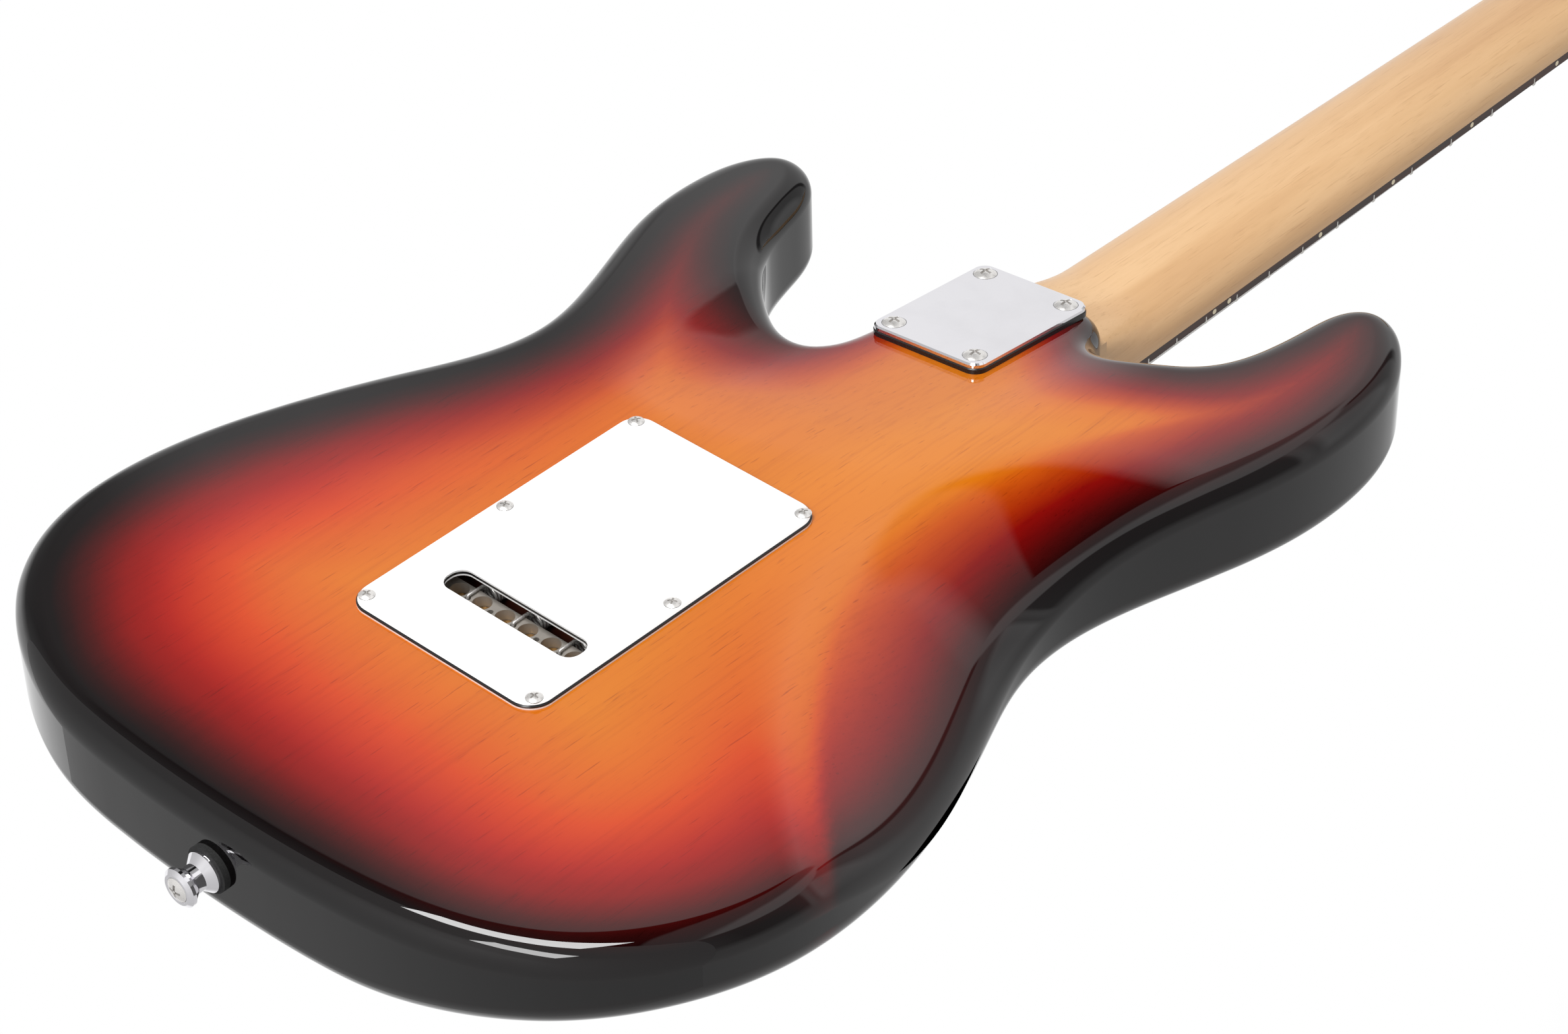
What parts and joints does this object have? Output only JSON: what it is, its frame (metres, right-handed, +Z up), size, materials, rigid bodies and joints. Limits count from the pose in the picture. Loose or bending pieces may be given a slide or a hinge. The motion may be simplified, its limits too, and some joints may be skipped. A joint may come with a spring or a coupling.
{
  "type": "electric guitar",
  "caption": "Solid-body electric guitar with a double-cutaway body, bolt-on neck and a spring-balanced vibrato bridge.",
  "frame": {"origin": "on the neck's centreline at the nut, level with the front of the body, where a hanger holds the neck", "axes": "+Z up along the neck from the body to the headstock, +Y out of the back, +X to the treble side"},
  "size_m": [0.3266, 0.0959, 0.9853],
  "materials": {
    "body_finish": "gloss sunburst lacquer over wood",
    "maple": "satin clear lacquer",
    "rosewood": "oiled",
    "fret_metal": "polished nickel silver",
    "cream_plastic": "moulded",
    "bone": "polished bone-like nut",
    "steel": "plain steel",
    "chrome": "mirror chrome",
    "nickel": "nickel plate",
    "black_plastic": "moulded black",
    "three_ply": "white, black, white laminated sheet",
    "white_plastic": "moulded white",
    "satin_steel": "satin plated steel",
    "brass": "plain brass",
    "felt": "black felt",
    "alnico": "ground magnet rod"
  },
  "bodies": {
    "guitar": {"body": "body_finish", "neck": "maple", "fretboard": "rosewood", "frets": "fret_metal", "inlay_dots": "cream_plastic", "nut": "bone", "truss_rod": "steel", "string_trees": "chrome", "neck_plate": "chrome", "neck_plate_gasket": "black_plastic", "neck_screws": "nickel", "back_cover": "three_ply", "back_cover_screws": "nickel", "pickguard": "three_ply", "front_screws": "nickel", "pickup_covers": "white_plastic", "pickup_bobbins": "black_plastic", "pole_pieces": "alnico", "machine_screws": "nickel", "pots": "steel", "selector_switch": "steel", "jack_plate": "chrome", "jack_socket": "nickel", "strap_buttons": "chrome", "strap_washers": "felt", "strap_screws": "nickel", "pivot_screws": "nickel", "vibrato_springs": "nickel", "spring_claw": "steel", "claw_screws": "nickel", "strings_wound": "nickel", "strings_plain": "steel", "tuner_housings": "chrome", "tuner_bushings": "chrome"},
    "bridge": {"bridge_plate": "chrome", "inertia_block": "satin_steel", "saddles": "satin_steel", "saddle_screws": "steel", "intonation_screws": "nickel", "intonation_springs": "steel", "ball_ends": "brass"},
    "arm": {"vibrato_arm": "chrome", "vibrato_arm_tip": "white_plastic"},
    "volume": {"knob_volume": "white_plastic"},
    "neck_tone": {"knob_neck_tone": "white_plastic"},
    "middle_tone": {"knob_middle_tone": "white_plastic"},
    "selector": {"selector_lever": "steel", "selector_tip": "white_plastic"},
    "post_1": {"tuner_post_1": "chrome"},
    "button_1": {"tuner_button_1": "chrome"},
    "post_2": {"tuner_post_2": "chrome"},
    "button_2": {"tuner_button_2": "chrome"},
    "post_3": {"tuner_post_3": "chrome"},
    "button_3": {"tuner_button_3": "chrome"},
    "post_4": {"tuner_post_4": "chrome"},
    "button_4": {"tuner_button_4": "chrome"},
    "post_5": {"tuner_post_5": "chrome"},
    "button_5": {"tuner_button_5": "chrome"},
    "post_6": {"tuner_post_6": "chrome"},
    "button_6": {"tuner_button_6": "chrome"}
  },
  "joints": [
    {"name": "vibrato_pivot", "type": "hinge", "parent": "guitar", "child": "bridge", "pos_m": [0, -0.0024, -0.6365], "axis": [-1, 0, 0], "range_deg": [-3, 8], "stiffness_Nm_per_rad": 12, "deforming": ["vibrato_springs", "strings_wound", "strings_plain"]},
    {"name": "arm_swing", "type": "hinge", "parent": "bridge", "child": "arm", "pos_m": [0.035, -0.0046, -0.662], "axis": [0, -1, 0], "range_deg": [-25, 70]},
    {"name": "volume_turn", "type": "hinge", "parent": "guitar", "child": "volume", "pos_m": [0.064, 0, -0.644], "axis": [0, -1, 0], "range_deg": [0, 290]},
    {"name": "neck_tone_turn", "type": "hinge", "parent": "guitar", "child": "neck_tone", "pos_m": [0.076, 0, -0.674], "axis": [0, -1, 0], "range_deg": [0, 290]},
    {"name": "middle_tone_turn", "type": "hinge", "parent": "guitar", "child": "middle_tone", "pos_m": [0.084, 0, -0.7], "axis": [0, -1, 0], "range_deg": [0, 290]},
    {"name": "selector_swing", "type": "hinge", "parent": "guitar", "child": "selector", "pos_m": [0.068, 0.009, -0.604], "axis": [0.8829, 0, 0.4695], "range_deg": [-26, 26]},
    {"name": "button_turn_1", "type": "hinge", "parent": "guitar", "child": "button_1", "pos_m": [-0.0185, 0.0194, 0.036], "axis": [-0.9598, 0, 0.2807], "continuous": true},
    {"name": "post_turn_1", "type": "hinge", "parent": "guitar", "child": "post_1", "pos_m": [-0.0185, 0, 0.036], "axis": [0, -1, 0], "continuous": true},
    {"name": "button_turn_2", "type": "hinge", "parent": "guitar", "child": "button_2", "pos_m": [-0.01162, 0.0194, 0.05952], "axis": [-0.9598, 0, 0.2807], "continuous": true},
    {"name": "post_turn_2", "type": "hinge", "parent": "guitar", "child": "post_2", "pos_m": [-0.01162, 0, 0.05952], "axis": [0, -1, 0], "continuous": true},
    {"name": "button_turn_3", "type": "hinge", "parent": "guitar", "child": "button_3", "pos_m": [-0.00475, 0.0194, 0.08303], "axis": [-0.9598, 0, 0.2807], "continuous": true},
    {"name": "post_turn_3", "type": "hinge", "parent": "guitar", "child": "post_3", "pos_m": [-0.00475, 0, 0.08303], "axis": [0, -1, 0], "continuous": true},
    {"name": "button_turn_4", "type": "hinge", "parent": "guitar", "child": "button_4", "pos_m": [0.00213, 0.0194, 0.10655], "axis": [-0.9598, 0, 0.2807], "continuous": true},
    {"name": "post_turn_4", "type": "hinge", "parent": "guitar", "child": "post_4", "pos_m": [0.00213, 0, 0.10655], "axis": [0, -1, 0], "continuous": true},
    {"name": "button_turn_5", "type": "hinge", "parent": "guitar", "child": "button_5", "pos_m": [0.00901, 0.0194, 0.13006], "axis": [-0.9598, 0, 0.2807], "continuous": true},
    {"name": "post_turn_5", "type": "hinge", "parent": "guitar", "child": "post_5", "pos_m": [0.00901, 0, 0.13006], "axis": [0, -1, 0], "continuous": true},
    {"name": "button_turn_6", "type": "hinge", "parent": "guitar", "child": "button_6", "pos_m": [0.01588, 0.0194, 0.15358], "axis": [-0.9598, 0, 0.2807], "continuous": true},
    {"name": "post_turn_6", "type": "hinge", "parent": "guitar", "child": "post_6", "pos_m": [0.01588, 0, 0.15358], "axis": [0, -1, 0], "continuous": true}
  ],
  "couplings": [
    {"joint": "post_turn_1", "follows": "button_turn_1", "ratio": 0.066667},
    {"joint": "post_turn_2", "follows": "button_turn_2", "ratio": 0.066667},
    {"joint": "post_turn_3", "follows": "button_turn_3", "ratio": 0.066667},
    {"joint": "post_turn_4", "follows": "button_turn_4", "ratio": 0.066667},
    {"joint": "post_turn_5", "follows": "button_turn_5", "ratio": 0.066667},
    {"joint": "post_turn_6", "follows": "button_turn_6", "ratio": 0.066667}
  ]
}
